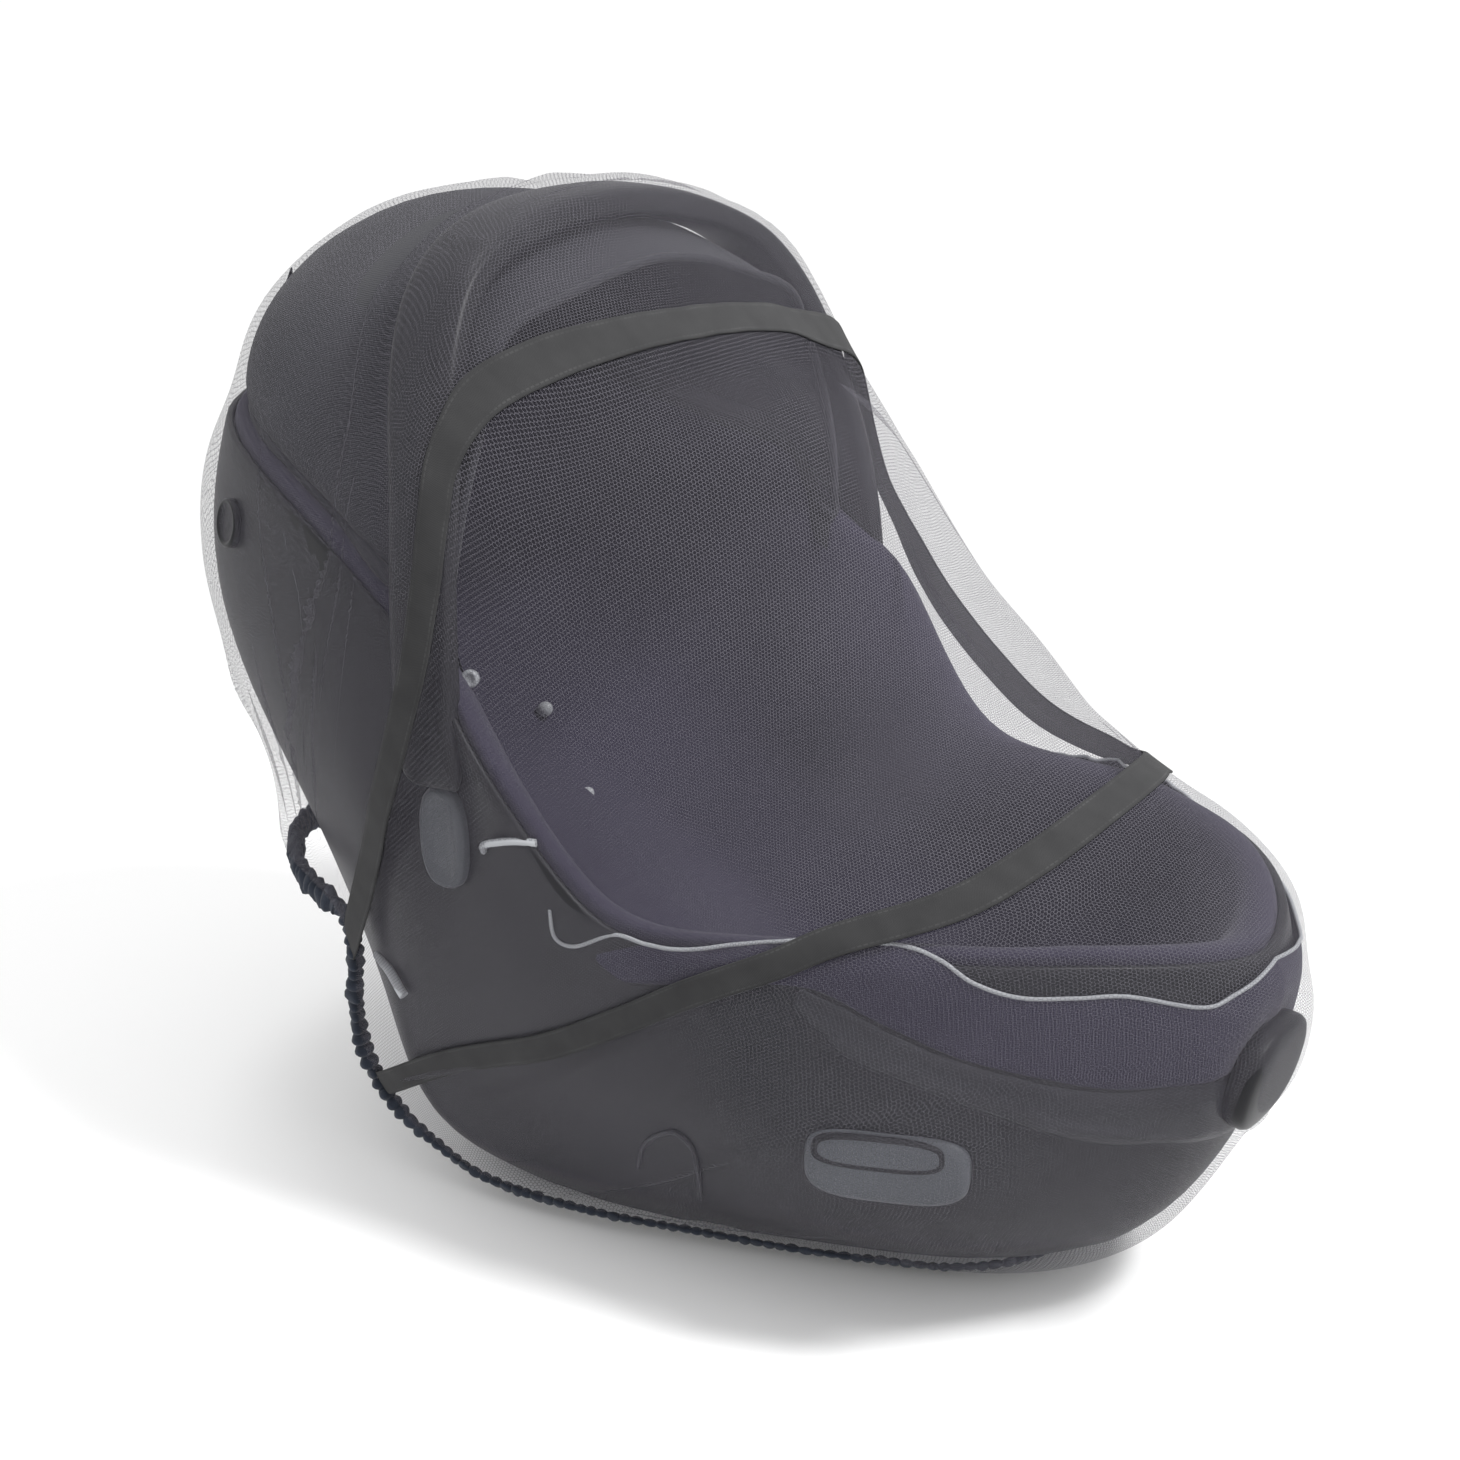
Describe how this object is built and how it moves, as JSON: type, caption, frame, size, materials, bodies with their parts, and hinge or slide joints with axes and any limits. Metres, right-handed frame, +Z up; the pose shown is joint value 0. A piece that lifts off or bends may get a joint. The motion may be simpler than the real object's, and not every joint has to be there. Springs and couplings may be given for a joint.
{
  "type": "mosquito net on infant car seat",
  "caption": "Sheer grey mosquito net with an elastic hem stretched over a dark infant car seat, with flat tape round its front panel.",
  "frame": {"origin": "middle of the seat's flat foot, on the surface it stands on", "axes": "+Y towards the head end along the seat's length, +Z up, +X towards the side away from the long end of the front panel"},
  "size_m": [0.4399, 0.7321, 0.5818],
  "materials": {
    "net": "matte",
    "tape": "matte",
    "elastic": "matte",
    "shell": "satin",
    "liner": "matte",
    "grey_plastic": "satin"
  },
  "bodies": {
    "root": {"net_body": "net", "net_panel": "net", "panel_tape": "tape", "hem_binding": "elastic", "seat_shell": "shell", "seat_liner": "liner", "seat_canopy": "liner", "carry_handle": "shell", "handle_hub_near": "grey_plastic", "handle_hub_far": "grey_plastic", "belt_guide_near": "grey_plastic", "belt_guide_far": "grey_plastic", "foot_cap": "shell"}
  },
  "joints": []
}
